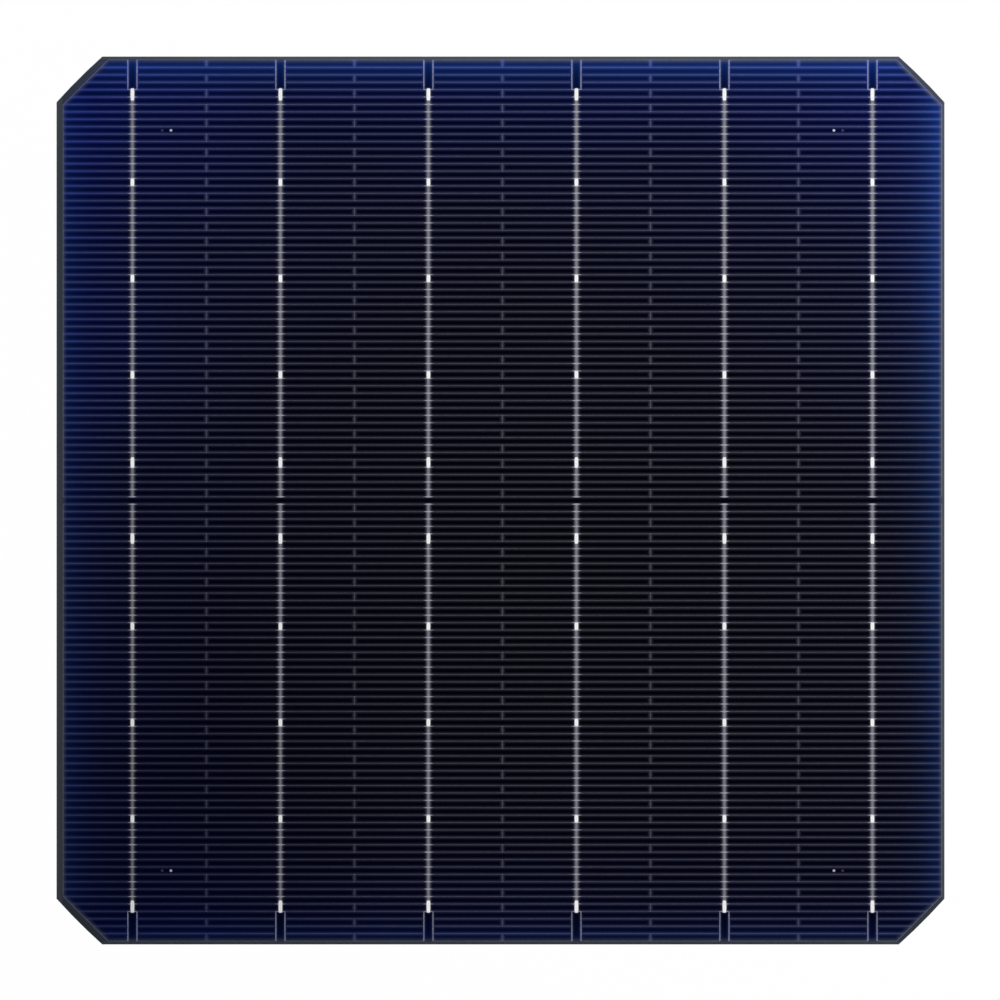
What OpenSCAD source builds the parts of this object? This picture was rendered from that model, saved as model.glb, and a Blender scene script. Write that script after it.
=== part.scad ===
// Solar cell: a pseudo-square silicon wafer, printed on the front with two mirrored
// half-cell grids and on the rear with an aluminium contact and solder pads.
// +Z is the sunny side, the rear lies on z = 0 and the origin is under the wafer's middle.
// The line between the two half cells runs along X, and the busbars run along Y.

/* [Wafer] */
// Side of the wafer
wafer_side = 166; // [158:0.5:176]
// Diameter of the ingot, which rounds the wafer's corners
ingot_d = 223; // [216:0.5:234]
// Thickness of the silicon
wafer_t = 0.18; // [0.12:0.01:0.3]

/* [Finger print] */
// Distance between finger lines
finger_pitch = 1.384; // [1.2:0.002:2.2]
// Width of a finger line
finger_w = 0.04; // [0.03:0.005:0.1]
// Height of the finger print
finger_h = 0.016; // [0.01:0.001:0.03]
// Width of the border line round each half
border_w = 0.05; // [0.03:0.005:0.2]
// Wafer sides, left and right, to the middle of the border line
side_inset = 0.86; // [0.4:0.02:2]
// Wafer ends, top and bottom, to the middle of the border line
end_inset = 0.62; // [0.4:0.02:2]
// Straight of a wafer corner to the middle of the border line
corner_inset = 0.96; // [0.6:0.02:3]
// Width of a tie that joins two neighbouring fingers
tie_w = 0.04; // [0.03:0.005:0.1]
// Distance between the two halves' first lines, left clear for the cut
cut_gap = 1.384; // [0.8:0.002:3]
// Sideways offset of the front print on the wafer
print_shift = 0.36; // [-0.4:0.02:0.4]

/* [Busbar print] */
// Number of busbars
busbar_count = 6; // [2:1:6]
// Distance between busbars
busbar_pitch = 27.67; // [18:0.01:28.6]
// Width of a busbar's line
busbar_w = 0.38; // [0.2:0.02:0.6]
// Height of the busbar print on the fingers
busbar_h = 0.012; // [0.006:0.001:0.03]
// Width of a solder pad
pad_w = 0.7; // [0.64:0.02:1.2]
// Length of a pad along the middle of a busbar
pad_len = 1.5; // [1:0.1:4]
// Distance between the pads along the middle
pad_pitch = 18; // [12:0.5:26]
// Length of the pad at a busbar's outer end
outer_pad_len = 2.4; // [1.6:0.1:4]
// Length of the pad at the cut
inner_pad_len = 2.1; // [1.6:0.1:4]
// Border line to the middle of a busbar's outer pad
end_pad_inset = 6.48; // [5:0.02:12]
// Cut across the corners of a pad
pad_chamfer = 0.18; // [0.05:0.01:0.3]
// Distance between the two tines of a busbar's fork
fork_gap = 1.7; // [1.4:0.05:4]
// Width of a tine
tine_w = 0.1; // [0.04:0.01:0.2]

/* [Alignment dots] */
// Diameter of a printed alignment dot
dot_d = 0.5; // [0.3:0.05:1]
// Outer busbar to an alignment dot, across the cell
dot_offset = 7.2; // [3:0.1:12]
// Middle of the cell to the gap that holds a dot, along the busbars
dot_reach = 69.2; // [20:0.1:74]

/* [Rear contact] */
// Thickness of the aluminium
rear_t = 0.025; // [0.018:0.001:0.05]
// Wafer side to the edge of the aluminium
rear_inset = 1; // [0.4:0.1:1.4]
// Strip without aluminium over the cut
rear_gap = 1.2; // [0.6:0.1:3]
// Width of a rear solder pad
rear_pad_w = 1.8; // [1:0.1:4]
// Length of a rear solder pad
rear_pad_len = 7; // [4:0.5:8]
// Thickness of a rear solder pad, which is thinner than the aluminium
rear_pad_t = 0.012; // [0.006:0.001:0.016]

/* [Hidden] */
$fn = 96;
half_side = wafer_side / 2;
half_mid = half_side / 2;
front_z = rear_t + wafer_t;
busbar_z = front_z + finger_h;

// Where the ingot's arc meets the wafer's side, or the corner of a wafer that it leaves square
corner_start = min(half_side, sqrt(pow(ingot_d / 2, 2) - pow(half_side, 2)));
// The border line's straights: x at the sides, y at the ends, and x + y across a corner
side_at = half_side - side_inset;
end_at = half_side - end_inset;
// A corner always takes off at least a line's width where side and end would meet
corner_line = half_side + corner_start - corner_inset * sqrt(2);
border_corner = min(corner_line, side_at + end_at - border_w);

// Finger lines counted from the cut; the border's own line follows the last
finger_count = floor((end_at - cut_gap / 2) / finger_pitch + 0.5);
dot_line = round((dot_reach - cut_gap / 2) / finger_pitch - 0.5);

columns = [1:busbar_count];
function column_x(i) = (i - (busbar_count + 1) / 2) * busbar_pitch;
function line_y(k) = k < finger_count ? cut_gap / 2 + k * finger_pitch : end_at;
// How far the border line lies out at a given y, and at a given x
function side_reach(y) = min(side_at, border_corner - abs(y));
function end_reach(x) = min(end_at, border_corner - abs(x));

// The outer pads stand in one row, set by the border at the outermost fork
outer_pad_y = end_reach(column_x(busbar_count) + fork_gap / 2) - end_pad_inset;
fork_line = floor((outer_pad_y + outer_pad_len / 2 - cut_gap / 2) / finger_pitch);

// Pads of one half-busbar as [distance from the cut, length]
pads = [
    [half_side - outer_pad_y, inner_pad_len],
    for (step = [-1:1]) [half_mid + step * pad_pitch, pad_len],
    [outer_pad_y, outer_pad_len]
];

module pseudo_square(inset) {
    intersection() {
        square(wafer_side - 2 * inset, center = true);
        circle(d = ingot_d - 2 * inset);
    }
}

// Places a child drawn for the upper half: side 1 keeps it there, side -1 mirrors it
module half_cell(side) {
    mirror([0, side < 0 ? 1 : 0, 0]) children();
}

// Outline of the border line's inner or outer edge, open below the first finger
module border_edge(grow, foot) {
    x = side_at + grow;
    y = end_at + grow;
    corner = border_corner + grow * sqrt(2);
    polygon([
        [-x, foot], [x, foot], [x, corner - x], [corner - y, y],
        [y - corner, y], [-x, corner - x]
    ]);
}

module border_line() {
    foot = line_y(0) - finger_w / 2;
    difference() {
        border_edge(border_w / 2, foot);
        border_edge(-border_w / 2, foot - border_w);
    }
}

module finger_line(k) {
    y = line_y(k);
    translate([0, y]) square([2 * side_reach(y), finger_w], center = true);
}

// Each finger with an even number is tied to the next line out
module ties() {
    for (i = [1:busbar_count - 1], k = [0:2:finger_count - 1])
        translate([column_x(i) + busbar_pitch / 2 - tie_w / 2, line_y(k)])
            square([tie_w, line_y(k + 1) - line_y(k)]);
}

module fork_tines() {
    for (i = columns, side = [-1, 1]) {
        x = column_x(i) + side * fork_gap / 2;
        translate([x - tine_w / 2, line_y(fork_line)])
            square([tine_w, end_reach(x) - line_y(fork_line)]);
    }
}

// Clears the lines between a fork's tines, out from its first line
module fork_slots() {
    slot_w = fork_gap - tine_w;
    for (i = columns)
        translate([column_x(i) - slot_w / 2, line_y(fork_line) + finger_pitch / 2])
            square([slot_w, half_side]);
}

module finger_grid(side) {
    color("#9a9da6") translate([print_shift, 0, front_z]) half_cell(side)
        linear_extrude(finger_h) difference() {
            union() {
                border_line();
                for (k = [0:finger_count - 1]) finger_line(k);
                ties();
                fork_tines();
            }
            fork_slots();
        }
}

module pad(len) {
    x = pad_w / 2;
    y = len / 2;
    c = pad_chamfer;
    polygon([
        [-x, c - y], [c - x, -y], [x - c, -y], [x, c - y],
        [x, y - c], [x - c, y], [c - x, y], [-x, y - c]
    ]);
}

module busbar(i, side) {
    foot = line_y(0) - finger_w / 2;
    color("#c9ccd2") translate([print_shift + column_x(i), 0, busbar_z]) half_cell(side)
        linear_extrude(busbar_h) {
            translate([-busbar_w / 2, foot])
                square([busbar_w, outer_pad_y - foot]);
            for (p = pads) translate([0, p[0]]) pad(p[1]);
        }
}

module alignment_dots() {
    x = column_x(busbar_count) - dot_offset;
    y = (line_y(dot_line) + line_y(dot_line + 1)) / 2;
    color("#c9ccd2") translate([print_shift, 0, front_z])
        for (sx = [-1, 1], sy = [-1, 1])
            translate([sx * x, sy * y]) cylinder(d = dot_d, h = finger_h);
}

module silicon_wafer() {
    color("#0a1030") translate([0, 0, rear_t]) linear_extrude(wafer_t) pseudo_square(0);
}

module rear_pad_outline() {
    for (p = pads) translate([0, p[0]]) square([rear_pad_w, rear_pad_len], center = true);
}

module rear_aluminium(side) {
    color("#8f9094") half_cell(side) linear_extrude(rear_t) difference() {
        intersection() {
            pseudo_square(rear_inset);
            translate([-half_side, rear_gap / 2]) square([wafer_side, half_side]);
        }
        for (i = columns) translate([column_x(i), 0]) rear_pad_outline();
    }
}

module rear_pads(i) {
    color("#c4c5c8") translate([column_x(i), 0, rear_t - rear_pad_t])
        for (side = [-1, 1]) half_cell(side) linear_extrude(rear_pad_t) rear_pad_outline();
}

silicon_wafer();
finger_grid(1);  // finger_grid_upper
finger_grid(-1);  // finger_grid_lower
alignment_dots();
for (i = columns) {
    busbar(i, 1);
    busbar(i, -1);
    rear_pads(i);
}
rear_aluminium(1);  // rear_aluminium_upper
rear_aluminium(-1);  // rear_aluminium_lower
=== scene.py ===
import math
import bpy
import numpy as np
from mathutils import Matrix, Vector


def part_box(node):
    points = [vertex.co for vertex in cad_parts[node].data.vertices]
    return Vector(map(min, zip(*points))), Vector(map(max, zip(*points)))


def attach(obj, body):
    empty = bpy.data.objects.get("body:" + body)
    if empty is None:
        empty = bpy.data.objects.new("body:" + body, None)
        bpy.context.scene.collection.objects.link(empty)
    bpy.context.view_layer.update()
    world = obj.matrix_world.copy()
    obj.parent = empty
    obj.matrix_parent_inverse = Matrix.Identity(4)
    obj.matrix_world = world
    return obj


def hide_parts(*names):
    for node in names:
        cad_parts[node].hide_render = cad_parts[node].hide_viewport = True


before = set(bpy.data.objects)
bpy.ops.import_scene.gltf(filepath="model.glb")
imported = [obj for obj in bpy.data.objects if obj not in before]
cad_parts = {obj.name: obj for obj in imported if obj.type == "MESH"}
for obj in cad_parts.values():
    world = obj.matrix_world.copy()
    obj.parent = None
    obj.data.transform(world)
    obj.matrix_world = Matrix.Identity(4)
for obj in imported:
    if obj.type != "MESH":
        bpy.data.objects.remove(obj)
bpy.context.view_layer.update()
mm = 0.001
print("frame loaded:", len(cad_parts), "nodes")


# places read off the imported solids, in millimetres
def boxMm(nodeName):
    return [np.array(corner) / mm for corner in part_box(nodeName)]


waferLow, waferHigh = boxMm("silicon_wafer")
gridLow, gridHigh = boxMm("finger_grid_upper")
halfSide = waferHigh[0]
rearZ = waferLow[2]
frontZ = waferHigh[2]
fingerHeight = gridHigh[2] - frontZ
busbarTop = boxMm("busbar_upper_1")[1][2] - frontZ
printShift = (gridLow[0] + gridHigh[0]) / 2
columnCount = sum(name.startswith("busbar_upper_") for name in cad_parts)
columnX = np.array([np.mean([corner[0] for corner in boxMm(f"busbar_upper_{i + 1}")])
                    for i in range(columnCount)])
columnPitch = columnX[1] - columnX[0]
halves = {"upper": 1, "lower": -1}
sharpAngle = math.radians(50)      # edges that turn by more stay sharp
noiseSpan = (0.3, 0.7)             # nearly all of a noise's values lie in it


# Mesh helpers

# a dome carried along paths. path is (lines, stations, 2), halfWidth and height (lines, stations).
# across = -cos(v pi) * halfWidth, up = sin(v pi)^power * height, v from 0 to 1 over the ring,
# the ring closes along the foot, and a mitre of 1 / cos(half the turn) keeps the width round bends
def sweepDome(path, halfWidth, height, foot, ringPoints, power):
    ahead = np.diff(path, axis=1)
    ahead /= np.linalg.norm(ahead, axis=2, keepdims=True)
    before = np.concatenate([ahead[:, :1], ahead], axis=1)
    after = np.concatenate([ahead, ahead[:, -1:]], axis=1)
    along = before + after
    along /= np.linalg.norm(along, axis=2, keepdims=True)
    mitre = 1 / np.sum(along * after, axis=2)
    across = np.stack([along[..., 1], -along[..., 0]], axis=2)
    v = np.linspace(0, np.pi, ringPoints)
    reach = -np.cos(v) * (halfWidth * mitre)[..., None]
    xy = path[:, :, None, :] + across[:, :, None, :] * reach[..., None]
    z = foot + np.sin(v).clip(0) ** power * height[..., None]
    return np.concatenate([xy, z[..., None]], axis=3)


# faces of rings stacked along stations, closed round each ring and capped at both ends
def ringFaces(lines, stations, ring):
    at = np.arange(lines * stations * ring).reshape(lines, stations, ring)
    turned = np.roll(at, -1, axis=2)
    quads = np.stack([at[:, :-1], turned[:, :-1], turned[:, 1:], at[:, 1:]], axis=3).reshape(-1, 4)
    return quads.tolist() + at[:, 0, ::-1].tolist() + at[:, -1].tolist()


# a piece of swept blocks, each (lines, stations, ring, 3)
def buildPiece(name, blocks, material, replaced, attributes):
    points, faces, offset = [], [], 0
    for grid in blocks:
        lines, stations, ring = grid.shape[:3]
        points.append(grid.reshape(-1, 3))
        faces += [[i + offset for i in face] for face in ringFaces(lines, stations, ring)]
        offset += grid[..., 0].size
    finishPiece(name, np.concatenate(points), faces, material, replaced, attributes)


# points in millimetres, attributes by point
def finishPiece(name, points, faces, material, replaced, attributes):
    mesh = bpy.data.meshes.new(name)
    mesh.from_pydata((points * mm).tolist(), [], faces)
    for key, values in attributes.items():
        mesh.attributes.new(key, "FLOAT", "POINT").data.foreach_set("value", values.astype(np.float32))
    mesh.shade_smooth()
    mesh.set_sharp_from_angle(angle=sharpAngle)
    mesh.materials.append(material)
    mesh.validate()
    piece = bpy.data.objects.new(name, mesh)
    bpy.context.scene.collection.objects.link(piece)
    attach(piece, "root")
    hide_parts(*replaced)


# Front prints

fingerPrint = {
    "pitch": 1.384,           # line to line
    "width": 0.04,
    "cutGap": 1.384,          # first line of one half to the first of the other
    "borderWidth": 0.05,
    "borderShare": 0.4,       # how full its paste is, 1 on a tine and 0 on a finger
    "endShare": 0.25,         # and between the forks
    "ingotDiameter": 223.0,   # rounds the wafer's corners
    "cornerInset": 0.96,      # straight of a wafer corner to the border line
    "tieWidth": 0.04,
    "tieFoot": 1.9,           # a tie is this many times as wide where it meets a finger
    "tieFootShare": 0.12,     # over this share of its length
    "tineWidth": 0.1,
    "forkGap": 1.7,
    "flareWidth": 0.26,       # a finger widens to this where it meets a busbar
    "flareReach": 0.95,
    "flarePower": 1.4,
    "serifWidth": 0.075,      # and to this where it meets a tie
    "serifReach": 0.3,
    "ringPoints": 7,
    "domePower": 0.6,         # below 1 flattens the dome
}
busbarPrint = {
    "lineWidth": 0.38,
    "padWidth": 0.7,
    "padLength": 1.5,         # of the three pads along the middle
    "padPitch": 18.0,
    "innerPadLength": 2.1,    # of the pad at the cut
    "outerPadLength": 2.4,
    "outerPadInset": 6.48,    # border line to the middle of the outer pad
    "padCorner": 4.0,         # power of the pad's rounded outline
    "padFade": 0.08,          # a pad has its full tone where it stands out this far past the line
    "tipShare": 0.16,         # half width of the outer pad's blunt tip, over the pad's width
    "sunkHeight": 0.018,      # paste between two fingers
    "crestReach": 0.16,       # half the width of the crest over a finger
    "crestShare": 0.28,       # how far its tone goes towards a pad's
    "ringSides": [-1, -0.93, -0.72, -0.36, 0, 0.36, 0.72, 0.93, 1],
    "ringPower": 6.0,         # squares the strip's section
}
busbarX = columnX - printShift
tieX = (busbarX[:-1] + busbarX[1:]) / 2
forkHalf = fingerPrint["forkGap"] / 2
firstY = fingerPrint["cutGap"] / 2
sideAt = (gridHigh[0] - gridLow[0] - fingerPrint["borderWidth"]) / 2     # border line at the sides
endAt = gridHigh[1] - fingerPrint["borderWidth"] / 2                     # and at the ends
cornerStart = math.sqrt((fingerPrint["ingotDiameter"] / 2) ** 2 - halfSide ** 2)
cornerSum = halfSide + cornerStart - fingerPrint["cornerInset"] * math.sqrt(2)     # |x| + |y| across a corner
lineCount = math.floor((endAt - firstY) / fingerPrint["pitch"] + 0.5)    # fingers of one half

# pads of one half busbar from the cut outwards, and the line where its fork starts
outerPadY = endAt - busbarPrint["outerPadInset"]
padRows = np.array([halfSide - outerPadY, halfSide / 2 - busbarPrint["padPitch"], halfSide / 2,
                    halfSide / 2 + busbarPrint["padPitch"], outerPadY])
padLengths = np.array([busbarPrint["innerPadLength"], busbarPrint["padLength"], busbarPrint["padLength"],
                       busbarPrint["padLength"], busbarPrint["outerPadLength"]])
stripEnd = padRows[-1] + padLengths[-1] / 2
forkLine = math.floor((stripEnd - firstY) / fingerPrint["pitch"])


# y of a line counted from the cut, the border's own line after the last finger
def lineY(k):
    y = firstY + np.asarray(k) * fingerPrint["pitch"]
    return np.where(np.asarray(k) < lineCount, y, endAt)


# how far out the border line lies at a distance v along the other axis, with at for its straight
def borderReach(v, at):
    return np.minimum(at, cornerSum - np.abs(v))


# width of a finger at x: its own, plus a flare that falls off from each busbar's edge
# as (1 - distance / reach)^power, plus a straight serif at each tie
def fingerWidth(x):
    offBusbar = np.abs(x[..., None] - busbarX).min(-1) - busbarPrint["lineWidth"] / 2
    offTie = np.abs(x[..., None] - tieX).min(-1)
    flare = (1 - offBusbar.clip(0) / fingerPrint["flareReach"]).clip(0) ** fingerPrint["flarePower"]
    serif = (1 - offTie / fingerPrint["serifReach"]).clip(0)
    return (fingerPrint["width"] + flare * (fingerPrint["flareWidth"] - fingerPrint["width"])
            + serif * (fingerPrint["serifWidth"] - fingerPrint["width"]))


# domes along paths, with how full each station's paste is, from 0 on a bare finger to 1
def sweepLines(path, width, full):
    height = np.full(path.shape[:2], fingerHeight)
    domes = sweepDome(path, np.broadcast_to(width / 2, path.shape[:2]), height, frontZ,
                      fingerPrint["ringPoints"], fingerPrint["domePower"])
    return domes, np.broadcast_to(np.asarray(full, float)[..., None], domes.shape[:3])


# one half's print, drawn for the upper half and turned over for the lower
def fingerGrid(side):
    blocks = []
    lines = np.arange(lineCount)

    # whole fingers: stations crowd where a finger meets busbars and ties
    reach = fingerPrint["flareReach"] + busbarPrint["lineWidth"] / 2
    flareSteps = np.array([-1, -0.75, -0.5, -0.3, 0, 0.3, 0.5, 0.75, 1]) * reach
    serifSteps = np.array([-1, 0, 1]) * fingerPrint["serifReach"]
    stations = np.sort(np.concatenate([(busbarX[:, None] + flareSteps).ravel(),
                                       (tieX[:, None] + serifSteps).ravel()]))
    whole = lines[lines <= forkLine]
    end = borderReach(lineY(whole), sideAt)[:, None]
    x = np.concatenate([-end, np.repeat(stations[None], len(whole), 0), end], axis=1)
    y = np.repeat(lineY(whole)[:, None], x.shape[1], 1)
    width = fingerWidth(x)
    flared = (width - fingerPrint["width"]) / (fingerPrint["flareWidth"] - fingerPrint["width"])
    blocks.append(sweepLines(np.stack([x, y], axis=2), width, flared.clip(0, 1)))

    # cut fingers past the forks' first line run from tine to tine
    cut = lines[lines > forkLine]
    end = borderReach(lineY(cut), sideAt)[:, None]
    starts = np.concatenate([-end, np.repeat((busbarX + forkHalf)[None], len(cut), 0)], axis=1)
    stops = np.concatenate([np.repeat((busbarX - forkHalf)[None], len(cut), 0), end], axis=1)
    steps = np.array([0, 0.5, 1])
    x = starts[..., None] + (stops - starts)[..., None] * steps
    y = np.repeat(np.repeat(lineY(cut)[:, None, None], x.shape[1], 1), len(steps), 2)
    blocks.append(sweepLines(np.stack([x, y], axis=3).reshape(-1, len(steps), 2), fingerPrint["width"], 0))

    # ties join each even line to the next one out
    even = lines[::2]
    footShare = fingerPrint["tieFootShare"]
    steps = np.array([0, footShare, 1 - footShare, 1])
    y = lineY(even)[:, None] + (lineY(even + 1) - lineY(even))[:, None] * steps
    y = np.repeat(y[None], len(tieX), 0)
    x = np.repeat(np.repeat(tieX[:, None, None], len(even), 1), len(steps), 2)
    tieWidths = fingerPrint["tieWidth"] * np.array([fingerPrint["tieFoot"], 1, 1, fingerPrint["tieFoot"]])
    blocks.append(sweepLines(np.stack([x, y], axis=3).reshape(-1, len(steps), 2), tieWidths, 0))

    # fork tines, from their first line to the border
    x = np.concatenate([busbarX - forkHalf, busbarX + forkHalf])
    foot = np.full(len(x), lineY(forkLine))
    tines = np.stack([np.stack([x, foot], 1), np.stack([x, borderReach(x, endAt)], 1)], axis=1)
    blocks.append(sweepLines(tines, fingerPrint["tineWidth"], 1))

    # border: up a side, across a corner and in to the first fork, and between forks along the end
    rightSide = np.array([[sideAt, lineY(0)], [sideAt, cornerSum - sideAt], [cornerSum - endAt, endAt],
                          [busbarX[-1] + forkHalf, endAt]])
    bothSides = np.stack([rightSide, rightSide * [-1, 1]])
    blocks.append(sweepLines(bothSides, fingerPrint["borderWidth"], fingerPrint["borderShare"]))
    x = np.stack([busbarX[:-1] + forkHalf, busbarX[1:] - forkHalf], axis=1)
    endParts = np.stack([x, np.full(x.shape, endAt)], axis=2)
    blocks.append(sweepLines(endParts, fingerPrint["borderWidth"], fingerPrint["endShare"]))

    # a half turn about Z takes the upper half onto the lower, since the print mirrors left to right
    domes = [block * [side, side, 1] + [printShift, 0, 0] for block, full in blocks]
    return domes, np.concatenate([full.ravel() for block, full in blocks])


# half width of a busbar at y: its line, or a pad outlined as (1 - |t|^n)^(1/n) over its length
def busbarHalfWidth(y):
    t = np.abs(y[:, None] - padRows) / (padLengths / 2)
    power = busbarPrint["padCorner"]
    pads = ((1 - t.clip(0, 1) ** power) ** (1 / power)).max(1) * busbarPrint["padWidth"] / 2
    return np.maximum(pads, busbarPrint["lineWidth"] / 2), pads


# one strip along Y. across = s * half width, up = (1 - |s|^n)^(1/n) * height over the ring,
# and its height rises from the sunk paste to a crest exp(-(d / reach)^2) over each finger
def busbarStrip(x, side):
    stripStart = firstY - fingerPrint["width"] / 2
    crossings = lineY(np.arange(forkLine + 1))
    crestSteps = np.array([-2, -1, -0.4, 0.4, 1, 2]) * busbarPrint["crestReach"]
    padSteps = np.array([-1, -0.985, -0.93, -0.8, 0.8, 0.93, 0.985, 1])
    y = np.concatenate([[stripStart, stripEnd], (crossings[:, None] + crestSteps).ravel(),
                        (padRows[:, None] + padSteps * padLengths[:, None] / 2).ravel()])
    y = np.unique(y[(y >= stripStart) & (y <= stripEnd)].round(4))
    halfWidth, pads = busbarHalfWidth(y)
    halfWidth[-1] = busbarPrint["padWidth"] * busbarPrint["tipShare"]
    offLine = np.abs(y[:, None] - crossings).min(1)
    crest = np.exp(-(offLine / busbarPrint["crestReach"]) ** 2)
    height = busbarPrint["sunkHeight"] + (busbarTop - busbarPrint["sunkHeight"]) * crest
    s = np.array(busbarPrint["ringSides"])
    up = (1 - np.abs(s) ** busbarPrint["ringPower"]) ** (1 / busbarPrint["ringPower"])
    gridX = x * side + halfWidth[:, None] * s
    gridY = np.repeat(y[:, None], len(s), 1)
    gridZ = frontZ + height[:, None] * up
    grid = np.stack([gridX, gridY, gridZ], axis=2)[None]
    padShare = ((pads - busbarPrint["lineWidth"] / 2) / busbarPrint["padFade"]).clip(0, 1)
    pasteShare = np.maximum(padShare, crest * busbarPrint["crestShare"])
    return grid * [side, side, 1], np.repeat(pasteShare, len(s))


alignmentDots = {
    "diameter": 0.5,
    "offset": 7.2,            # inwards from the outer busbars
    "reach": 69.2,            # from the cut line
    "rings": 6,
    "spokes": 28,
}


# a printed dot: rings and spokes, up = (1 - r^4)^(1/2) of the finger height
def dotMesh():
    rings, spokes = alignmentDots["rings"], alignmentDots["spokes"]
    r = np.sin(np.linspace(0, np.pi / 2, rings + 1))[1:]
    a = np.linspace(0, math.tau, spokes, endpoint=False)
    radius = alignmentDots["diameter"] / 2
    ringPoints = np.stack([radius * r[:, None] * np.cos(a), radius * r[:, None] * np.sin(a),
                           np.repeat((fingerHeight * np.sqrt(1 - r ** 4))[:, None], spokes, 1)], axis=2)
    points = np.concatenate([[[0, 0, fingerHeight]], ringPoints.reshape(-1, 3)])
    at = 1 + np.arange(rings * spokes).reshape(rings, spokes)
    turned = np.roll(at, -1, axis=1)
    fan = np.stack([np.zeros(spokes, int), at[0], turned[0]], axis=1)
    quads = np.stack([at[:-1], at[1:], turned[1:], turned[:-1]], axis=2).reshape(-1, 4)
    return points, fan.tolist() + quads.tolist() + [at[-1, ::-1].tolist()]


# Materials

# sRGB hex to linear
def linear(hexColour):
    srgb = np.array([int(hexColour[i:i + 2], 16) for i in (1, 3, 5)]) / 255
    value = np.where(srgb <= 0.04045, srgb / 12.92, ((srgb + 0.055) / 1.055) ** 2.4)
    return (*value.tolist(), 1.0)


# one node: inputs are sockets to link or values to set, stops are a ramp's places and hex colours,
# and settings are its properties
def addNode(tree, kind, inputs=None, stops=(), **settings):
    made = tree.nodes.new("ShaderNode" + kind)
    for name, value in settings.items():
        setattr(made, name, value)
    for name, value in (inputs or {}).items():
        if isinstance(value, bpy.types.NodeSocket):
            tree.links.new(value, made.inputs[name])
        else:
            made.inputs[name].default_value = value
    for i, (position, hexColour) in enumerate(stops):
        elements = made.color_ramp.elements
        element = elements[i] if i < 2 else elements.new(position)
        element.position = position
        element.color = linear(hexColour)
    return made


def newMaterial(name):
    material = bpy.data.materials.new(name)
    material.use_nodes = True
    material.node_tree.nodes.clear()
    return material, material.node_tree


# a piece's own coordinates in millimetres
def objectMm(tree):
    place = addNode(tree, "TexCoord").outputs["Object"]
    return addNode(tree, "VectorMath", {0: place, "Scale": 1 / mm}, operation="SCALE").outputs[0]


# painted shade: the silver lines and the paste's grey darken towards the lower left, where the light falls
# off
paintedShade = {
    "x": (0.0, -70.0),        # where the painted shade starts, and where it is darkest
    "y": (45.0, -70.0),
    "side": (-70.5, -77.0),   # x of the painted shade strip along the left side
    "sideShare": 0.5,
    "fingers": 0.43,          # share of the tone that goes
    "strips": 0.25,
}


# what is left of the silver's tone under painted shade, which darkens it towards the lower left corner where
# the light falls off, by one smooth step along x times one along y, and by a share of that all along the left
# side
def paintedShadeShare(tree, inMm, loss):
    axes = addNode(tree, "SeparateXYZ", {0: inMm}).outputs
    steps = []
    for axis, (clear, darkest) in ((axes["X"], paintedShade["x"]), (axes["Y"], paintedShade["y"])):
        steps.append(addNode(tree, "MapRange", {"Value": axis, "From Min": clear, "From Max": darkest},
                             interpolation_type="SMOOTHSTEP").outputs[0])
    corner = addNode(tree, "Math", {0: steps[0], 1: steps[1]}, operation="MULTIPLY").outputs[0]
    clear, darkest = paintedShade["side"]
    side = addNode(tree, "MapRange", {"Value": axes["X"], "From Min": clear, "From Max": darkest,
                                      "To Max": paintedShade["sideShare"]}).outputs[0]
    paintedShadeAmount = addNode(tree, "Math", {0: corner, 1: side}, operation="MAXIMUM").outputs[0]
    return addNode(tree, "MapRange", {"Value": paintedShadeAmount, "To Min": 1.0, "To Max": 1 - loss}).outputs[0]


nitrideCoat = {
    "tone": "#010105",        # over the middle of the cell
    "cloud": 28.0,            # size of the coat's slow drift
    "drift": (1.2, 0.8),      # which thickens and thins the veil
    "sheen": (0.36, 0.46),    # and varies the roughness
    "paintedShadeTop": 90.0,          # y where a side's blue, with painted shade below, is strongest
    # a blue's rims give its reach and strength, the fringe's weak left and bottom rims being painted shade;
    # its painted shade rise gives the y and the strength that a side starts from, so the side darkens towards
    # the bottom; and its lift how much it strengthens beside the lines
    "veil": {"colour": "#1048ff", "lift": 4.2, "join": "ADD",
             "rims": {"top": (14.0, 0.025), "bottom": (11.0, 0.013), "left": (22.0, 0.037),
                      "right": (26.0, 0.0185)},
             "paintedShadeRise": {"left": (-30.0, 0.012), "right": (-9.0, 0.0025)}},
    "fringe": {"colour": "#337cff", "lift": 1.5, "join": "MAXIMUM",
               "rims": {"top": (2.3, 0.142), "bottom": (1.6, 0.054), "left": (3.0, 0.056),
                        "right": (2.7, 0.147)},
               "paintedShadeRise": {"right": (-50.0, 0.074)}},
    "fade": (-1.1, 0.1),      # the fringe thins again over this stretch across the border
    "fadeShare": 0.2,         # to this
    "pyramid": 0.06,          # a few thousandths on a real cell, drawn wide enough to show at all
    "relief": 0.004,          # height of a pyramid
    "ior": 2.0,               # silicon nitride
    "gloss": 0.004,           # the coat is made to take nearly all of the reflection
    "glossTint": "#9fb4ff",
    "rear": "#2c3450",        # passivated, bluish
    "edge": "#4b4e53",        # sawn
    "faceDepth": 0.002,       # what counts as the front or rear face
}
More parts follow.
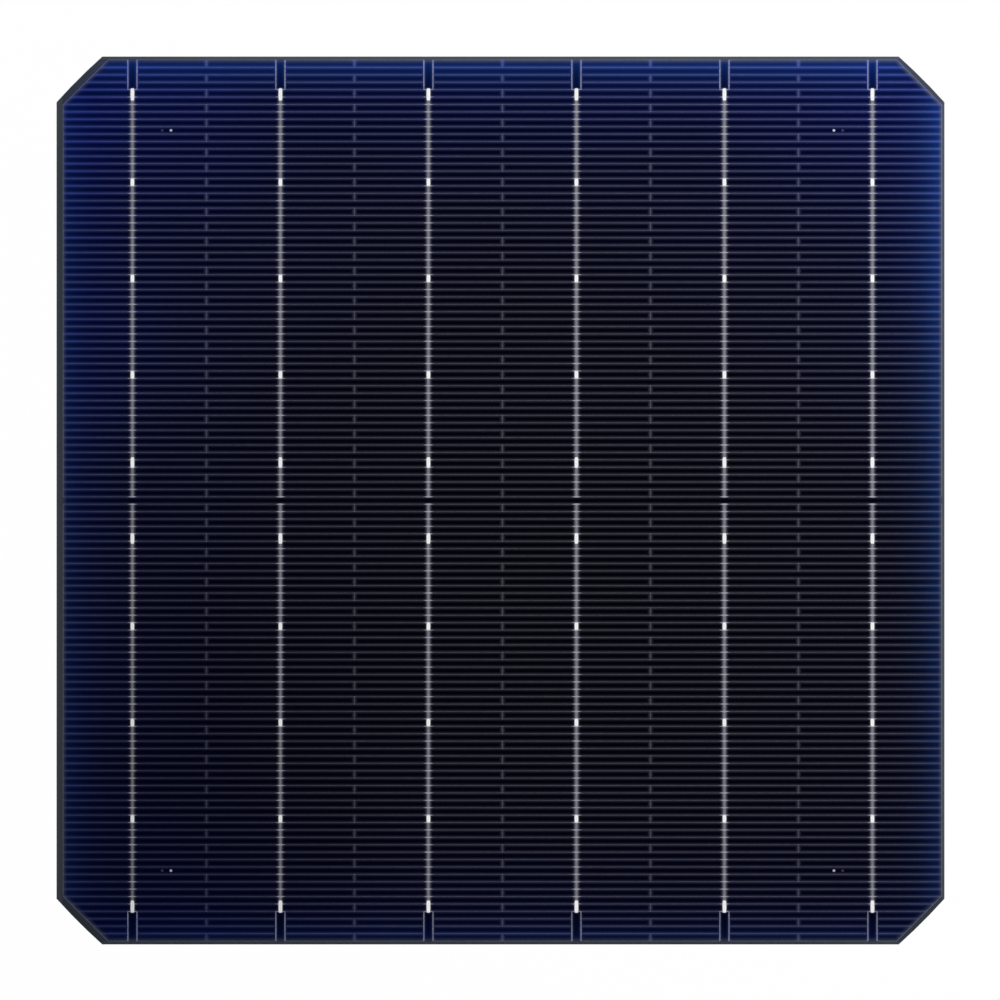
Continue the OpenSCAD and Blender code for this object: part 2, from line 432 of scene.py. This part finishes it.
# painted light: a glow of light scattered off the silver, drawn as a wide paste bleed beside each line
pasteBleedGlow = {
    "colour": "#2a2a30",
    "borderColour": "#282c31",
    # how far from a line's middle its glow has fallen to 1 / e
    "widths": {"finger": 0.27, "tine": 0.27, "tie": 0.33, "strip": 0.35, "border": 0.45},
    "tieStrength": 1.5,       # times a finger's, like the next
    "stripStrength": 7.5,
    "borderStrength": (1.5, 2.2),
    "borderRise": (-10.0, 60.0),     # x + y over which the border's strength rises from one to the other
    "forkStep": 0.4,          # a fork's slot starts this share of a pitch past its line
}
bareMargin = {
    # the margin's own grey, with painted shade making it darker towards the lower left and paler towards the
    # upper right
    "tones": [(0.0, "#41454a"), (0.36, "#3b4147"), (0.66, "#53575b"), (1.0, "#4d5054")],
    "span": 90.0,             # x + y, either way, that the tones are spread over
    "quickShare": 0.8,        # share of the grey that comes at once past the border line
    "quickReach": 0.2,
    "fullReach": 1.0,
    "cornerTone": 1.05,       # times the tone of the straights
    "cornerShare": 0.55,      # share of it that shows over a corner
    "cornerReach": 0.5,
}
laserRing = {
    "x": 63.6,                # from the middle of the print
    "radii": (0.3, 0.2),
    "colour": "#3c3b54",
    "share": 0.8,
}


# how far a place lies past the border line, in mm: past its straights, past its corners and past either
def pastBorder(tree, absX, absY):
    pastSide = addNode(tree, "Math", {0: absX, 1: sideAt}, operation="SUBTRACT").outputs[0]
    pastEnd = addNode(tree, "Math", {0: absY, 1: endAt}, operation="SUBTRACT").outputs[0]
    straight = addNode(tree, "Math", {0: pastSide, 1: pastEnd}, operation="MAXIMUM").outputs[0]
    bothAxes = addNode(tree, "Math", {0: absX, 1: absY}, operation="ADD").outputs[0]
    pastSum = addNode(tree, "Math", {0: bothAxes, 1: cornerSum}, operation="SUBTRACT").outputs[0]
    corner = addNode(tree, "Math", {0: pastSum, 1: math.sqrt(0.5)}, operation="MULTIPLY").outputs[0]
    either = addNode(tree, "Math", {0: straight, 1: corner}, operation="MAXIMUM").outputs[0]
    return straight, corner, either


# one of the coat's blues, which falls from each rim as strength * exp(-distance / reach), a side's strength
# weakening towards the bottom as painted shade where it has a rise: the rims' parts are added up, or the
# strongest one is taken
def rimBlue(tree, blue, x, y):
    outwards = {"top": (y, "SUBTRACT"), "bottom": (y, "ADD"), "left": (x, "ADD"), "right": (x, "SUBTRACT")}
    glow = 0.0
    for rim, (reach, strength) in blue["rims"].items():
        axis, sign = outwards[rim]
        distance = addNode(tree, "Math", {0: halfSide, 1: axis}, operation=sign).outputs[0]
        depth = addNode(tree, "Math", {0: distance, 1: -1 / reach}, operation="MULTIPLY").outputs[0]
        fall = addNode(tree, "Math", {0: depth}, operation="EXPONENT").outputs[0]
        # painted shade: the side's blue weakens towards the bottom
        if rim in blue["paintedShadeRise"]:
            start, low = blue["paintedShadeRise"][rim]
            strength = addNode(tree, "MapRange", {
                "Value": y, "From Min": start, "From Max": nitrideCoat["paintedShadeTop"], "To Min": low,
                "To Max": strength}, interpolation_type="SMOOTHSTEP").outputs[0]
        part = addNode(tree, "Math", {0: fall, 1: strength}, operation="MULTIPLY").outputs[0]
        glow = addNode(tree, "Math", {0: part, 1: glow}, operation=blue["join"]).outputs[0]
    return glow


# paste bleeds a few hundredths of a millimetre past its lines, and the coat shines through it: drawn wide
# enough to show, as strength * exp(-(distance / width)^2), and carrying painted light, a glow of light
# scattered off the silver onto the coat beside each line. Gives what lifts the blues, the grey of fingers,
# tines, ties and strips, and the grey of the border
def pasteBleedAndGlow(tree, x, absY, past, diagonal, paintedShadeFactor):
    pitch = fingerPrint["pitch"]
    fromFirst = addNode(tree, "Math", {0: absY, 1: firstY}, operation="SUBTRACT").outputs[0]
    fromColumn = addNode(tree, "Math", {0: x, 1: columnX[0]}, operation="SUBTRACT").outputs[0]
    offLine = addNode(tree, "Math", {0: fromFirst, 1: pitch / 2}, operation="PINGPONG").outputs[0]
    offStrip = addNode(tree, "Math", {0: fromColumn, 1: columnPitch / 2}, operation="PINGPONG").outputs[0]
    offTine = addNode(tree, "Math", {0: offStrip, 1: fingerPrint["forkGap"] / 2},
                      operation="SUBTRACT").outputs[0]
    offTie = addNode(tree, "Math", {0: columnPitch / 2, 1: offStrip}, operation="SUBTRACT").outputs[0]
    distances = {"finger": offLine, "tine": offTine, "tie": offTie, "strip": offStrip, "border": past}
    lineGlow = {}
    for line, distance in distances.items():
        spread = addNode(tree, "Math", {0: distance, 1: 1 / pasteBleedGlow["widths"][line]},
                         operation="MULTIPLY").outputs[0]
        square = addNode(tree, "Math", {0: spread, 1: spread}, operation="MULTIPLY").outputs[0]
        fall = addNode(tree, "Math", {0: square, 1: -1.0}, operation="MULTIPLY").outputs[0]
        lineGlow[line] = addNode(tree, "Math", {0: fall}, operation="EXPONENT").outputs[0]

    # no finger runs between a fork's tines, or beside the border's own line
    slotY = firstY + (forkLine + pasteBleedGlow["forkStep"]) * pitch
    forked = addNode(tree, "Math", {0: absY, 1: slotY}, operation="GREATER_THAN").outputs[0]
    slotted = addNode(tree, "Math", {0: offTine, 1: 0.0}, operation="LESS_THAN").outputs[0]
    slot = addNode(tree, "Math", {0: forked, 1: slotted}, operation="MULTIPLY").outputs[0]
    bordered = addNode(tree, "Math", {0: absY, 1: endAt - pitch / 2}, operation="GREATER_THAN").outputs[0]
    bare = addNode(tree, "Math", {0: slot, 1: bordered}, operation="MAXIMUM").outputs[0]
    fingers = addNode(tree, "Mix", {"Factor": bare, "A": lineGlow["finger"], "B": 0.0}).outputs["Result"]
    tines = addNode(tree, "Math", {0: lineGlow["tine"], 1: forked}, operation="MULTIPLY").outputs[0]

    # a tie spans every second gap
    dash = addNode(tree, "Math", {0: fromFirst, 1: 2 * pitch}, operation="FLOORED_MODULO").outputs[0]
    tied = addNode(tree, "Math", {0: dash, 1: pitch}, operation="LESS_THAN").outputs[0]
    tieStrength = addNode(tree, "Math", {0: tied, 1: pasteBleedGlow["tieStrength"]},
                          operation="MULTIPLY").outputs[0]
    ties = addNode(tree, "Math", {0: lineGlow["tie"], 1: tieStrength}, operation="MULTIPLY").outputs[0]
    fingersTines = addNode(tree, "Math", {0: fingers, 1: tines}, operation="MAXIMUM").outputs[0]
    thinLines = addNode(tree, "Math", {0: fingersTines, 1: ties}, operation="MAXIMUM").outputs[0]
    inside = addNode(tree, "Math", {0: past, 1: 0.0}, operation="LESS_THAN").outputs[0]
    lifting = addNode(tree, "Math", {0: thinLines, 1: inside}, operation="MULTIPLY").outputs[0]
    thinGrey = addNode(tree, "Math", {0: lifting, 1: paintedShadeFactor}, operation="MULTIPLY").outputs[0]

    # a strip runs from the first line to the end of its outer pad
    afterStart = addNode(tree, "Math", {0: fromFirst, 1: 0.0}, operation="GREATER_THAN").outputs[0]
    beforeEnd = addNode(tree, "Math", {0: absY, 1: stripEnd}, operation="LESS_THAN").outputs[0]
    stripRun = addNode(tree, "Math", {0: afterStart, 1: beforeEnd}, operation="MULTIPLY").outputs[0]
    stripTone = addNode(tree, "Math", {0: stripRun, 1: paintedShadeFactor}, operation="MULTIPLY").outputs[0]
    strips = addNode(tree, "Math", {0: lineGlow["strip"], 1: stripTone}, operation="MULTIPLY").outputs[0]
    lineGrey = addNode(tree, "Math", {0: strips, 1: pasteBleedGlow["stripStrength"], 2: thinGrey},
                       operation="MULTIPLY_ADD").outputs[0]

    # the border's glow strengthens towards the upper right: painted light, brighter where the lamp's light is
    # stronger
    riseFrom, riseTo = pasteBleedGlow["borderRise"]
    weak, strong = pasteBleedGlow["borderStrength"]
    borderStrength = addNode(tree, "MapRange", {"Value": diagonal, "From Min": riseFrom, "From Max": riseTo,
                                                "To Min": weak, "To Max": strong}).outputs[0]
    borderGrey = addNode(tree, "Math", {0: lineGlow["border"], 1: borderStrength},
                         operation="MULTIPLY").outputs[0]
    return lifting, lineGrey, borderGrey


# the margin outside the border: bare grey along the straights, which comes in quickly past the line,
# and half coated over the corners; its grey is darker towards the lower left, partly painted shade
def withMargin(tree, coat, pastStraight, pastCorner, diagonal):
    # painted shade: the grey darkens towards the lower left along x + y
    placed = addNode(tree, "MapRange", {"Value": diagonal, "From Min": -bareMargin["span"],
                                        "From Max": bareMargin["span"]}).outputs[0]
    tone = addNode(tree, "ValToRGB", {"Fac": placed}, bareMargin["tones"]).outputs["Color"]
    cornerTone = addNode(tree, "VectorMath", {0: tone, "Scale": bareMargin["cornerTone"]},
                         operation="SCALE").outputs[0]
    cornerShare = addNode(tree, "MapRange", {"Value": pastCorner, "From Max": bareMargin["cornerReach"],
                                             "To Max": bareMargin["cornerShare"]}).outputs[0]
    cornered = addNode(tree, "Mix", {"Factor": cornerShare, "A": coat, "B": cornerTone}, data_type="RGBA")
    quick = addNode(tree, "MapRange", {"Value": pastStraight, "From Max": bareMargin["quickReach"],
                                       "To Max": bareMargin["quickShare"]}).outputs[0]
    slow = addNode(tree, "MapRange", {"Value": pastStraight, "From Min": bareMargin["quickReach"],
                                      "From Max": bareMargin["fullReach"],
                                      "To Max": 1 - bareMargin["quickShare"]}).outputs[0]
    share = addNode(tree, "Math", {0: quick, 1: slow}, operation="ADD").outputs[0]
    rimmed = addNode(tree, "Mix", {"Factor": share, "A": cornered.outputs["Result"], "B": tone},
                     data_type="RGBA")
    return rimmed.outputs["Result"]


# a faint laser ring beside each alignment dot, so small that it is drawn as a soft spot
def withLaserRings(tree, surface, absX, absY):
    ringX = addNode(tree, "Math", {0: absX, 1: laserRing["x"]}, operation="SUBTRACT").outputs[0]
    ringY = addNode(tree, "Math", {0: absY, 1: alignmentDots["reach"]}, operation="SUBTRACT").outputs[0]
    offset = addNode(tree, "CombineXYZ", {"X": ringX, "Y": ringY}).outputs[0]
    radius = addNode(tree, "VectorMath", {0: offset}, operation="LENGTH").outputs["Value"]
    outer, inner = laserRing["radii"]
    spot = addNode(tree, "MapRange", {"Value": radius, "From Min": outer, "From Max": inner,
                                      "To Max": laserRing["share"]}).outputs[0]
    marked = addNode(tree, "Mix", {"Factor": spot, "A": surface, "B": linear(laserRing["colour"])},
                     data_type="RGBA")
    return marked.outputs["Result"]


# monocrystalline silicon, etched to fine pyramids and coated with silicon nitride by plasma:
# swallows nearly all light, black in the middle, blue where the coat thins towards the rims,
# and a bare grey margin outside the printed border
def coatedSilicon():
    material, tree = newMaterial("nitride-coated textured silicon")
    inMm = objectMm(tree)
    x, y, z = addNode(tree, "SeparateXYZ", {0: inMm}).outputs
    printX = addNode(tree, "Math", {0: x, 1: printShift}, operation="SUBTRACT").outputs[0]
    absX = addNode(tree, "Math", {0: printX}, operation="ABSOLUTE").outputs[0]
    absY = addNode(tree, "Math", {0: y}, operation="ABSOLUTE").outputs[0]
    diagonal = addNode(tree, "Math", {0: x, 1: y}, operation="ADD").outputs[0]
    pastStraight, pastCorner, past = pastBorder(tree, absX, absY)
    # painted shade on the paste's grey towards the lower left
    paintedShadeFactor = paintedShadeShare(tree, inMm, paintedShade["fingers"])
    lifting, lineGrey, borderGrey = pasteBleedAndGlow(tree, x, absY, past, diagonal, paintedShadeFactor)

    # a wide veil that drifts and a narrow, paler fringe, each lifted beside the lines by the painted glow
    cloud = addNode(tree, "TexNoise", {"Vector": inMm, "Scale": 1 / nitrideCoat["cloud"],
                                       "Detail": 3.0}).outputs["Fac"]
    thick, thin = nitrideCoat["drift"]
    drift = addNode(tree, "MapRange", {"Value": cloud, "From Min": noiseSpan[0], "From Max": noiseSpan[1],
                                       "To Min": thick, "To Max": thin}).outputs[0]
    fadeFrom, fadeTo = nitrideCoat["fade"]
    rimFade = addNode(tree, "MapRange", {"Value": past, "From Min": fadeFrom, "From Max": fadeTo,
                                         "To Min": 1.0, "To Max": nitrideCoat["fadeShare"]}).outputs[0]
    coat = linear(nitrideCoat["tone"])[:3]
    for blue, share in ((nitrideCoat["veil"], drift), (nitrideCoat["fringe"], rimFade)):
        glow = rimBlue(tree, blue, x, y)
        amount = addNode(tree, "Math", {0: glow, 1: share}, operation="MULTIPLY").outputs[0]
        lift = addNode(tree, "MapRange", {"Value": lifting, "To Min": 1.0, "To Max": blue["lift"]}).outputs[0]
        strength = addNode(tree, "Math", {0: amount, 1: lift}, operation="MULTIPLY").outputs[0]
        layer = addNode(tree, "VectorMath", {0: linear(blue["colour"])[:3], "Scale": strength},
                        operation="SCALE").outputs[0]
        coat = addNode(tree, "VectorMath", {0: layer, 1: coat}, operation="ADD").outputs[0]
    # painted light: the grey glow beside the lines and the border
    for colour, amount in ((pasteBleedGlow["colour"], lineGrey), (pasteBleedGlow["borderColour"], borderGrey)):
        layer = addNode(tree, "VectorMath", {0: linear(colour)[:3], "Scale": amount},
                        operation="SCALE").outputs[0]
        coat = addNode(tree, "VectorMath", {0: layer, 1: coat}, operation="ADD").outputs[0]
    rimmed = withMargin(tree, coat, pastStraight, pastCorner, diagonal)
    marked = withLaserRings(tree, rimmed, absX, absY)

    # the sawn edge, the rear and the front, told apart by their height
    rear = addNode(tree, "Math", {0: z, 1: rearZ + nitrideCoat["faceDepth"]},
                   operation="LESS_THAN").outputs[0]
    below = addNode(tree, "Mix", {"Factor": rear, "A": linear(nitrideCoat["edge"]),
                                  "B": linear(nitrideCoat["rear"])}, data_type="RGBA").outputs["Result"]
    front = addNode(tree, "Math", {0: z, 1: frontZ - nitrideCoat["faceDepth"]},
                    operation="GREATER_THAN").outputs[0]
    whole = addNode(tree, "Mix", {"Factor": front, "A": below, "B": marked},
                    data_type="RGBA").outputs["Result"]

    # the etched pyramids, and a sheen that drifts with the coat
    pyramids = addNode(tree, "TexVoronoi", {"Vector": inMm,
                                            "Scale": 1 / nitrideCoat["pyramid"]}).outputs["Distance"]
    grain = addNode(tree, "Bump", {"Height": pyramids, "Strength": 0.12,
                                   "Distance": nitrideCoat["relief"] * mm}).outputs[0]
    smooth, rough = nitrideCoat["sheen"]
    sheen = addNode(tree, "MapRange", {"Value": cloud, "From Min": noiseSpan[0], "From Max": noiseSpan[1],
                                       "To Min": smooth, "To Max": rough}).outputs[0]
    shader = addNode(tree, "BsdfPrincipled", {"Base Color": whole, "Roughness": sheen,
                                              "IOR": nitrideCoat["ior"],
                                              "Specular IOR Level": nitrideCoat["gloss"],
                                              "Specular Tint": linear(nitrideCoat["glossTint"]),
                                              "Normal": grain})
    addNode(tree, "OutputMaterial", {"Surface": shader.outputs[0]})
    return material


silverPaste = {
    "lean": ("#62636c", "#6e6f79"),      # a finger or a tie, between two knots and on one
    "full": ("#a3a5b4", "#b7b9c8"),      # a tine, a dot or the foot of a flare
    "strip": ("#73747c", "#83848d"),
    "pad": ("#ebecee", "#f2f2f3"),
    "lineKnot": 2.0,          # the screen's mesh leaves knots 0.07 mm apart, drawn coarser so that they show
    "stripKnot": 0.35,
    "relief": 0.004,
    "rough": (0.62, 0.42),    # on a line and on a pad
    "lineMetal": 0.1,         # a thin porous line hardly mirrors
    "stripMetal": (0.5, 0.8),
    "gloss": 0.1,
}


# silver paste, screen printed and fired: porous and matt, a cool grey that scatters like powder,
# darker on a thin lean line than on a full one, the lean line also darkened towards the lower left by painted
# shade
def firedSilverLine():
    material, tree = newMaterial("screen-printed silver line")
    inMm = objectMm(tree)
    knots = addNode(tree, "TexNoise", {"Vector": inMm, "Scale": 1 / silverPaste["lineKnot"],
                                       "Detail": 2.0}).outputs["Fac"]
    lean = addNode(tree, "ValToRGB", {"Fac": knots}, zip(noiseSpan, silverPaste["lean"])).outputs["Color"]
    full = addNode(tree, "ValToRGB", {"Fac": knots}, zip(noiseSpan, silverPaste["full"])).outputs["Color"]
    # painted shade: the lean tone darkens towards the lower left
    paintedShadeFactor = paintedShadeShare(tree, inMm, paintedShade["fingers"])
    paintedShadeTone = addNode(tree, "VectorMath", {0: lean, "Scale": paintedShadeFactor}, operation="SCALE").outputs[0]
    share = addNode(tree, "Attribute", attribute_name="pasteShare").outputs["Fac"]
    tone = addNode(tree, "Mix", {"Factor": share, "A": paintedShadeTone, "B": full}, data_type="RGBA").outputs["Result"]
    grain = addNode(tree, "Bump", {"Height": knots, "Strength": 0.2,
                                   "Distance": silverPaste["relief"] * mm}).outputs[0]
    shader = addNode(tree, "BsdfPrincipled", {"Base Color": tone, "Metallic": silverPaste["lineMetal"],
                                              "Roughness": silverPaste["rough"][0],
                                              "Specular IOR Level": silverPaste["gloss"], "Normal": grain})
    addNode(tree, "OutputMaterial", {"Surface": shader.outputs[0]})
    return material


# the same paste as a wide strip: grey on the line, brighter where it piles up over a finger,
# and bright and smoother on the solder pads, all darkened towards the lower left by painted shade
def firedSilverStrip():
    material, tree = newMaterial("screen-printed silver strip and pads")
    inMm = objectMm(tree)
    knots = addNode(tree, "TexNoise", {"Vector": inMm, "Scale": 1 / silverPaste["stripKnot"],
                                       "Detail": 3.0}).outputs["Fac"]
    line = addNode(tree, "ValToRGB", {"Fac": knots}, zip(noiseSpan, silverPaste["strip"])).outputs["Color"]
    pad = addNode(tree, "ValToRGB", {"Fac": knots}, zip(noiseSpan, silverPaste["pad"])).outputs["Color"]
    onPad = addNode(tree, "Attribute", attribute_name="pasteShare").outputs["Fac"]
    tone = addNode(tree, "Mix", {"Factor": onPad, "A": line, "B": pad}, data_type="RGBA").outputs["Result"]
    # painted shade: the strip and pads darken towards the lower left
    paintedShadeFactor = paintedShadeShare(tree, inMm, paintedShade["strips"])
    paintedShadeTone = addNode(tree, "VectorMath", {0: tone, "Scale": paintedShadeFactor}, operation="SCALE").outputs[0]
    lineRough, padRough = silverPaste["rough"]
    rough = addNode(tree, "MapRange", {"Value": onPad, "To Min": lineRough, "To Max": padRough}).outputs[0]
    lineMetal, padMetal = silverPaste["stripMetal"]
    metal = addNode(tree, "MapRange", {"Value": onPad, "To Min": lineMetal, "To Max": padMetal}).outputs[0]
    grain = addNode(tree, "Bump", {"Height": knots, "Strength": 0.25,
                                   "Distance": silverPaste["relief"] * mm}).outputs[0]
    shader = addNode(tree, "BsdfPrincipled", {"Base Color": paintedShadeTone, "Metallic": metal, "Roughness": rough,
                                              "Specular IOR Level": silverPaste["gloss"], "Normal": grain})
    addNode(tree, "OutputMaterial", {"Surface": shader.outputs[0]})
    return material


rearContact = {
    "contactPitch": 1.1,      # between the lines that the laser opened
    "grain": 0.3,             # a few hundredths on a real cell, drawn coarser so that it shows
    "blotch": 14.0,
    "grainShare": 0.4,        # what each adds to the tone
    "blotchShare": 0.6,
    "bandShare": 0.1,
    "bandHeight": 0.5,        # of a band, over a grain's
    "tones": [(0.3, "#7b7c7f"), (0.75, "#9c9d9f")],
    "relief": 0.01,
    "padKnot": 0.4,           # coarser than the screen's mesh, like the front's
    "padTones": ("#bdbdbe", "#d2d2d1"),
    "padRelief": 0.004,
}


# aluminium paste fired over the whole rear: matt mid grey, grainy,
# with faint bands where the laser opened contact lines under it
def firedAluminium():
    material, tree = newMaterial("fired aluminium paste")
    inMm = objectMm(tree)
    grains = addNode(tree, "TexNoise", {"Vector": inMm, "Scale": 1 / rearContact["grain"],
                                        "Detail": 4.0}).outputs["Fac"]
    blotches = addNode(tree, "TexNoise", {"Vector": inMm, "Scale": 1 / rearContact["blotch"],
                                          "Detail": 3.0}).outputs["Fac"]
    waveScale = math.tau / rearContact["contactPitch"] / 20      # the node's wave runs 20 radians per unit
    bands = addNode(tree, "TexWave", {"Vector": inMm, "Scale": waveScale}, bands_direction="Y",
                    wave_profile="SIN").outputs["Fac"]
    grainPart = addNode(tree, "Math", {0: grains, 1: rearContact["grainShare"]},
                        operation="MULTIPLY").outputs[0]
    mottled = addNode(tree, "Math", {0: blotches, 1: rearContact["blotchShare"], 2: grainPart},
                      operation="MULTIPLY_ADD").outputs[0]
    banded = addNode(tree, "Math", {0: bands, 1: rearContact["bandShare"], 2: mottled},
                     operation="MULTIPLY_ADD").outputs[0]
    tone = addNode(tree, "ValToRGB", {"Fac": banded}, rearContact["tones"]).outputs["Color"]
    height = addNode(tree, "Math", {0: bands, 1: rearContact["bandHeight"], 2: grains},
                     operation="MULTIPLY_ADD").outputs[0]
    relief = addNode(tree, "Bump", {"Height": height, "Strength": 0.4,
                                    "Distance": rearContact["relief"] * mm}).outputs[0]
    shader = addNode(tree, "BsdfPrincipled", {"Base Color": tone, "Metallic": 0.35, "Roughness": 0.7,
                                              "Normal": relief})
    addNode(tree, "OutputMaterial", {"Surface": shader.outputs[0]})
    return material


# rear silver, printed thin for soldering: paler and smoother than the aluminium round it
def rearSilver():
    material, tree = newMaterial("rear solder silver")
    inMm = objectMm(tree)
    knots = addNode(tree, "TexNoise", {"Vector": inMm, "Scale": 1 / rearContact["padKnot"],
                                       "Detail": 3.0}).outputs["Fac"]
    tone = addNode(tree, "ValToRGB", {"Fac": knots}, zip(noiseSpan, rearContact["padTones"])).outputs["Color"]
    grain = addNode(tree, "Bump", {"Height": knots, "Strength": 0.25,
                                   "Distance": rearContact["padRelief"] * mm}).outputs[0]
    shader = addNode(tree, "BsdfPrincipled", {"Base Color": tone, "Metallic": 0.45, "Roughness": 0.45,
                                              "Normal": grain})
    addNode(tree, "OutputMaterial", {"Surface": shader.outputs[0]})
    return material


silicon = coatedSilicon()
lineSilver = firedSilverLine()
stripSilver = firedSilverStrip()
rearGrey = firedAluminium()
rearPadSilver = rearSilver()
print("materials made")


# Pieces

for half, side in halves.items():
    domes, full = fingerGrid(side)
    buildPiece(f"fingerPrint_{half}", domes, lineSilver, [f"finger_grid_{half}"],
               {"pasteShare": full})
print("finger prints done")

for half, side in halves.items():
    for i, x in enumerate(columnX):
        grid, pasteShare = busbarStrip(x, side)
        buildPiece(f"busbarPrint_{half}_{i + 1}", [grid], stripSilver,
                   [f"busbar_{half}_{i + 1}"], {"pasteShare": pasteShare})
print("busbars done")

dotPoints, dotFaces = dotMesh()
dotX = busbarX[-1] - alignmentDots["offset"]
dotPlaces = np.array([[sx * dotX + printShift, sy * alignmentDots["reach"], frontZ]
                      for sx in (-1, 1) for sy in (-1, 1)])
allPoints = (dotPlaces[:, None] + dotPoints).reshape(-1, 3)
allFaces = [[i + n * len(dotPoints) for i in face] for n in range(len(dotPlaces)) for face in dotFaces]
finishPiece("alignmentDots", allPoints, allFaces, lineSilver, ["alignment_dots"],
            {"pasteShare": np.ones(len(allPoints))})
print("alignment dots done")

# CAD nodes that keep their shape get their finish
finishes = {"silicon_wafer": silicon, "rear_aluminium_": rearGrey, "rear_pads_": rearPadSilver}
for nodeName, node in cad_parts.items():
    for start, material in finishes.items():
        if nodeName.startswith(start):
            node.data.materials.clear()
            node.data.materials.append(material)
print("solids dressed")


# Stage

studio = {
    "floorReach": 4.0,              # metres, either way
    "floorDrop": 0.02 * mm,         # clear of the aluminium's face
    "floorWhite": 0.985,            # the rest is lit paper, for the shadow
    "fill": 0.1,
    "softbox": (0.17, 0.14, 0.32),  # over the upper right corner, in metres
    "softboxSize": 0.2,
    "softboxWatts": 1.6,
}


# 1 for what the eye sees, straight, in a reflection or through a clear piece, 0 for light that only fills
def seenByEye(tree):
    rays = addNode(tree, "LightPath").outputs
    seen = rays["Is Camera Ray"]
    for kind in ("Is Glossy Ray", "Is Transmission Ray"):
        seen = addNode(tree, "Math", {0: seen, 1: rays[kind]}, operation="MAXIMUM").outputs[0]
    return seen


# white paper floor: lit paper for the shadow, topped up to white for what the eye and reflections see,
# and open from below, so that the cell's rear can be looked at
def paperFloor():
    material, tree = newMaterial("white paper floor")
    share = addNode(tree, "Math", {0: seenByEye(tree), 1: studio["floorWhite"]},
                    operation="MULTIPLY").outputs[0]
    paper = addNode(tree, "BsdfDiffuse", {"Color": linear("#f4f4f4")})
    white = addNode(tree, "Emission", {"Color": linear("#ffffff"), "Strength": 1.0})
    both = addNode(tree, "MixShader", {"Fac": share, 1: paper.outputs[0], 2: white.outputs[0]})
    under = addNode(tree, "NewGeometry").outputs["Backfacing"]
    clear = addNode(tree, "BsdfTransparent")
    sided = addNode(tree, "MixShader", {"Fac": under, 1: both.outputs[0], 2: clear.outputs[0]})
    addNode(tree, "OutputMaterial", {"Surface": sided.outputs[0]})
    return material


floorCorners = np.array([[-1, -1], [1, -1], [1, 1], [-1, 1]]) * studio["floorReach"]
floorMesh = bpy.data.meshes.new("floor")
floorMesh.from_pydata([(x, y, -studio["floorDrop"]) for x, y in floorCorners.tolist()], [], [(0, 1, 2, 3)])
floorMesh.materials.append(paperFloor())
floor = bpy.data.objects.new("floor", floorMesh)
bpy.context.scene.collection.objects.link(floor)

# low fill from all round, white where it is seen
world = bpy.data.worlds.new("studio")
bpy.context.scene.world = world
world.use_nodes = True
world.node_tree.nodes.clear()
brightness = addNode(world.node_tree, "MapRange", {"Value": seenByEye(world.node_tree),
                                                   "To Min": studio["fill"], "To Max": 1.0}).outputs[0]
sky = addNode(world.node_tree, "Background", {"Color": linear("#ffffff"), "Strength": brightness})
addNode(world.node_tree, "OutputWorld", {"Surface": sky.outputs[0]})

# one softbox, turned towards the cell
lamp = bpy.data.lights.new("softbox", "AREA")
lamp.shape = "SQUARE"
lamp.size = studio["softboxSize"]
lamp.energy = studio["softboxWatts"]
lampObject = bpy.data.objects.new("softbox", lamp)
lampObject.location = studio["softbox"]
toCell = -np.array(studio["softbox"])
lampObject.rotation_euler = (math.atan2(math.hypot(toCell[0], toCell[1]), -toCell[2]), 0,
                             math.atan2(toCell[1], toCell[0]) - math.pi / 2)
lampObject.visible_glossy = False      # metal mirrors the white room, not the lamp
bpy.context.scene.collection.objects.link(lampObject)

# straight down, long lens: frame is the width in mm at the cell's face, and the cell stands a hair off centre
view = {"frame": 186.95, "lens": 120.0, "sensor": 36.0, "aside": (-0.0935, 0.0935), "clip": 0.01}
camera = bpy.data.cameras.new("camera")
camera.lens = view["lens"]
camera.sensor_width = view["sensor"]
camera.clip_start = view["clip"]
cameraObject = bpy.data.objects.new("camera", camera)
cameraHeight = view["frame"] * view["lens"] / view["sensor"] + frontZ
cameraObject.location = (view["aside"][0] * mm, view["aside"][1] * mm, cameraHeight * mm)
bpy.context.scene.collection.objects.link(cameraObject)
bpy.context.scene.camera = cameraObject
bpy.context.scene.view_settings.view_transform = "Standard"
print("stage set")
